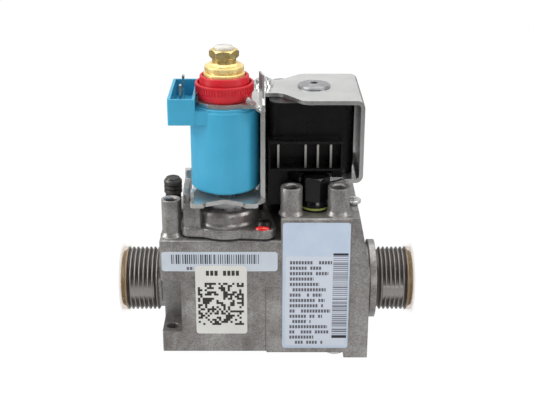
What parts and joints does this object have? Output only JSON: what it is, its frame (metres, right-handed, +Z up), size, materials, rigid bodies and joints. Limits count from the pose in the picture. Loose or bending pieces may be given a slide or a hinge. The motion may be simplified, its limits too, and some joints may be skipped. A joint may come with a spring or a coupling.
{
  "type": "gas valve",
  "caption": "Gas combination valve: die-cast body with male pipe ports, twin solenoid head under a sheet bracket, and a pressure regulator with a modulating coil on top.",
  "frame": {"origin": "middle of the footprint on the standing plane", "axes": "+X along the ports towards the collar port, +Y towards the back, +Z up"},
  "size_m": [0.1218, 0.056, 0.1273],
  "materials": {
    "casting": "as-cast, matt, faintly mottled",
    "amber_film": "thin translucent amber film",
    "steel": "machined",
    "zinc_sheet": "zinc-plated sheet, satin",
    "seal_rubber": "matt",
    "black_steel": "blackened steel, semi-gloss",
    "brass": "turned, bright",
    "red_lacquer": "glossy sealing lacquer",
    "blue_plastic": "satin moulded",
    "copper": "enamelled copper wire",
    "tinned": "tinned blade contact",
    "red_plastic": "satin moulded",
    "white_nylon": "translucent white nylon",
    "black_plastic": "satin moulded",
    "green_seal": "yellow-green seal",
    "dark_metal": "dark phosphated metal",
    "label_paper": "satin label, left without text"
  },
  "bodies": {
    "housing": {"body_casting": "casting", "inlet_filter": "steel", "bottom_cover": "zinc_sheet", "bottom_gasket": "seal_rubber", "bottom_cover_screws": "black_steel", "main_diaphragm": "seal_rubber", "main_seat_ring": "brass", "main_spring": "steel", "regulator_gasket": "seal_rubber", "regulator_cover": "casting", "cover_screws": "black_steel", "seal_lacquer": "red_lacquer", "regulator_diaphragm": "seal_rubber", "modulator_bracket": "zinc_sheet", "guide_tube": "steel", "modulator_coil": "blue_plastic", "modulator_winding": "copper", "modulator_terminals": "tinned", "modulator_spring": "steel", "adjuster_body": "brass", "head_gasket": "seal_rubber", "ev1_tube": "steel", "ev1_spring": "steel", "ev1_winding": "copper", "ev2_tube": "steel", "ev2_spring": "steel", "ev2_winding": "copper", "solenoid_coils": "black_plastic", "solenoid_terminals": "tinned", "solenoid_bracket": "zinc_sheet", "ev1_top_screw": "steel", "ev2_top_nut": "zinc_sheet", "service_cap_gasket": "green_seal", "test_nipple": "dark_metal", "tube_flange_screws": "steel", "strip_label": "label_paper", "code_label": "label_paper", "rating_label": "label_paper"},
    "left_seal": {"left_dust_seal": "amber_film"},
    "right_seal": {"right_dust_seal": "amber_film"},
    "main_closer": {"main_valve": "steel", "main_valve_disc": "seal_rubber"},
    "armature_group": {"armature": "steel"},
    "ring_nut": {"coil_ring_nut": "red_plastic"},
    "max_nut": {"max_pressure_nut": "brass"},
    "min_screw": {"min_pressure_screw": "white_nylon"},
    "ev1_closer": {"ev1_plunger": "steel", "ev1_valve_disc": "seal_rubber"},
    "ev2_closer": {"ev2_plunger": "steel"},
    "test_screw": {"test_nipple_screw": "dark_metal"},
    "side_screw": {"side_test_screw": "zinc_sheet"},
    "cap": {"service_cap": "black_plastic"}
  },
  "joints": [
    {"name": "left_seal_pull", "type": "slide", "parent": "housing", "child": "left_seal", "axis": [-1, 0, 0], "range_m": [0, 0.04]},
    {"name": "right_seal_pull", "type": "slide", "parent": "housing", "child": "right_seal", "axis": [1, 0, 0], "range_m": [0, 0.04]},
    {"name": "main_valve_lift", "type": "slide", "parent": "housing", "child": "main_closer", "axis": [0, 0, 1], "range_m": [0, 0.0025], "deforming": ["main_spring", "main_diaphragm"]},
    {"name": "modulator_stroke", "type": "slide", "parent": "housing", "child": "armature_group", "axis": [0, 0, -1], "range_m": [0, 0.0012], "deforming": ["modulator_spring", "regulator_diaphragm"]},
    {"name": "ring_nut_turn", "type": "hinge", "parent": "housing", "child": "ring_nut", "pos_m": [-0.0164, -0.0105, 0.109], "axis": [0, 0, 1], "range_deg": [0, 720]},
    {"name": "max_nut_turn", "type": "hinge", "parent": "housing", "child": "max_nut", "pos_m": [-0.0164, -0.0105, 0.124], "axis": [0, 0, 1], "range_deg": [-720, 720]},
    {"name": "min_screw_turn", "type": "hinge", "parent": "max_nut", "child": "min_screw", "pos_m": [-0.0164, -0.0105, 0.124], "axis": [0, 0, 1], "range_deg": [-720, 720]},
    {"name": "ev1_lift", "type": "slide", "parent": "housing", "child": "ev1_closer", "axis": [0, 0, 1], "range_m": [0, 0.0025], "deforming": ["ev1_spring"]},
    {"name": "ev2_lift", "type": "slide", "parent": "housing", "child": "ev2_closer", "axis": [0, 0, 1], "range_m": [0, 0.0008], "deforming": ["ev2_spring"]},
    {"name": "test_screw_turn", "type": "hinge", "parent": "housing", "child": "test_screw", "pos_m": [-0.0384, -0.0015, 0.071], "axis": [0, 0, 1], "range_deg": [0, 720]},
    {"name": "side_screw_turn", "type": "hinge", "parent": "housing", "child": "side_screw", "pos_m": [0.0346, -0.0085, 0.063], "axis": [0, 0, 1], "range_deg": [0, 720]},
    {"name": "service_cap_turn", "type": "hinge", "parent": "housing", "child": "cap", "pos_m": [0.0192, -0.0136, 0.068], "axis": [0, 0, 1], "range_deg": [0, 720]}
  ]
}
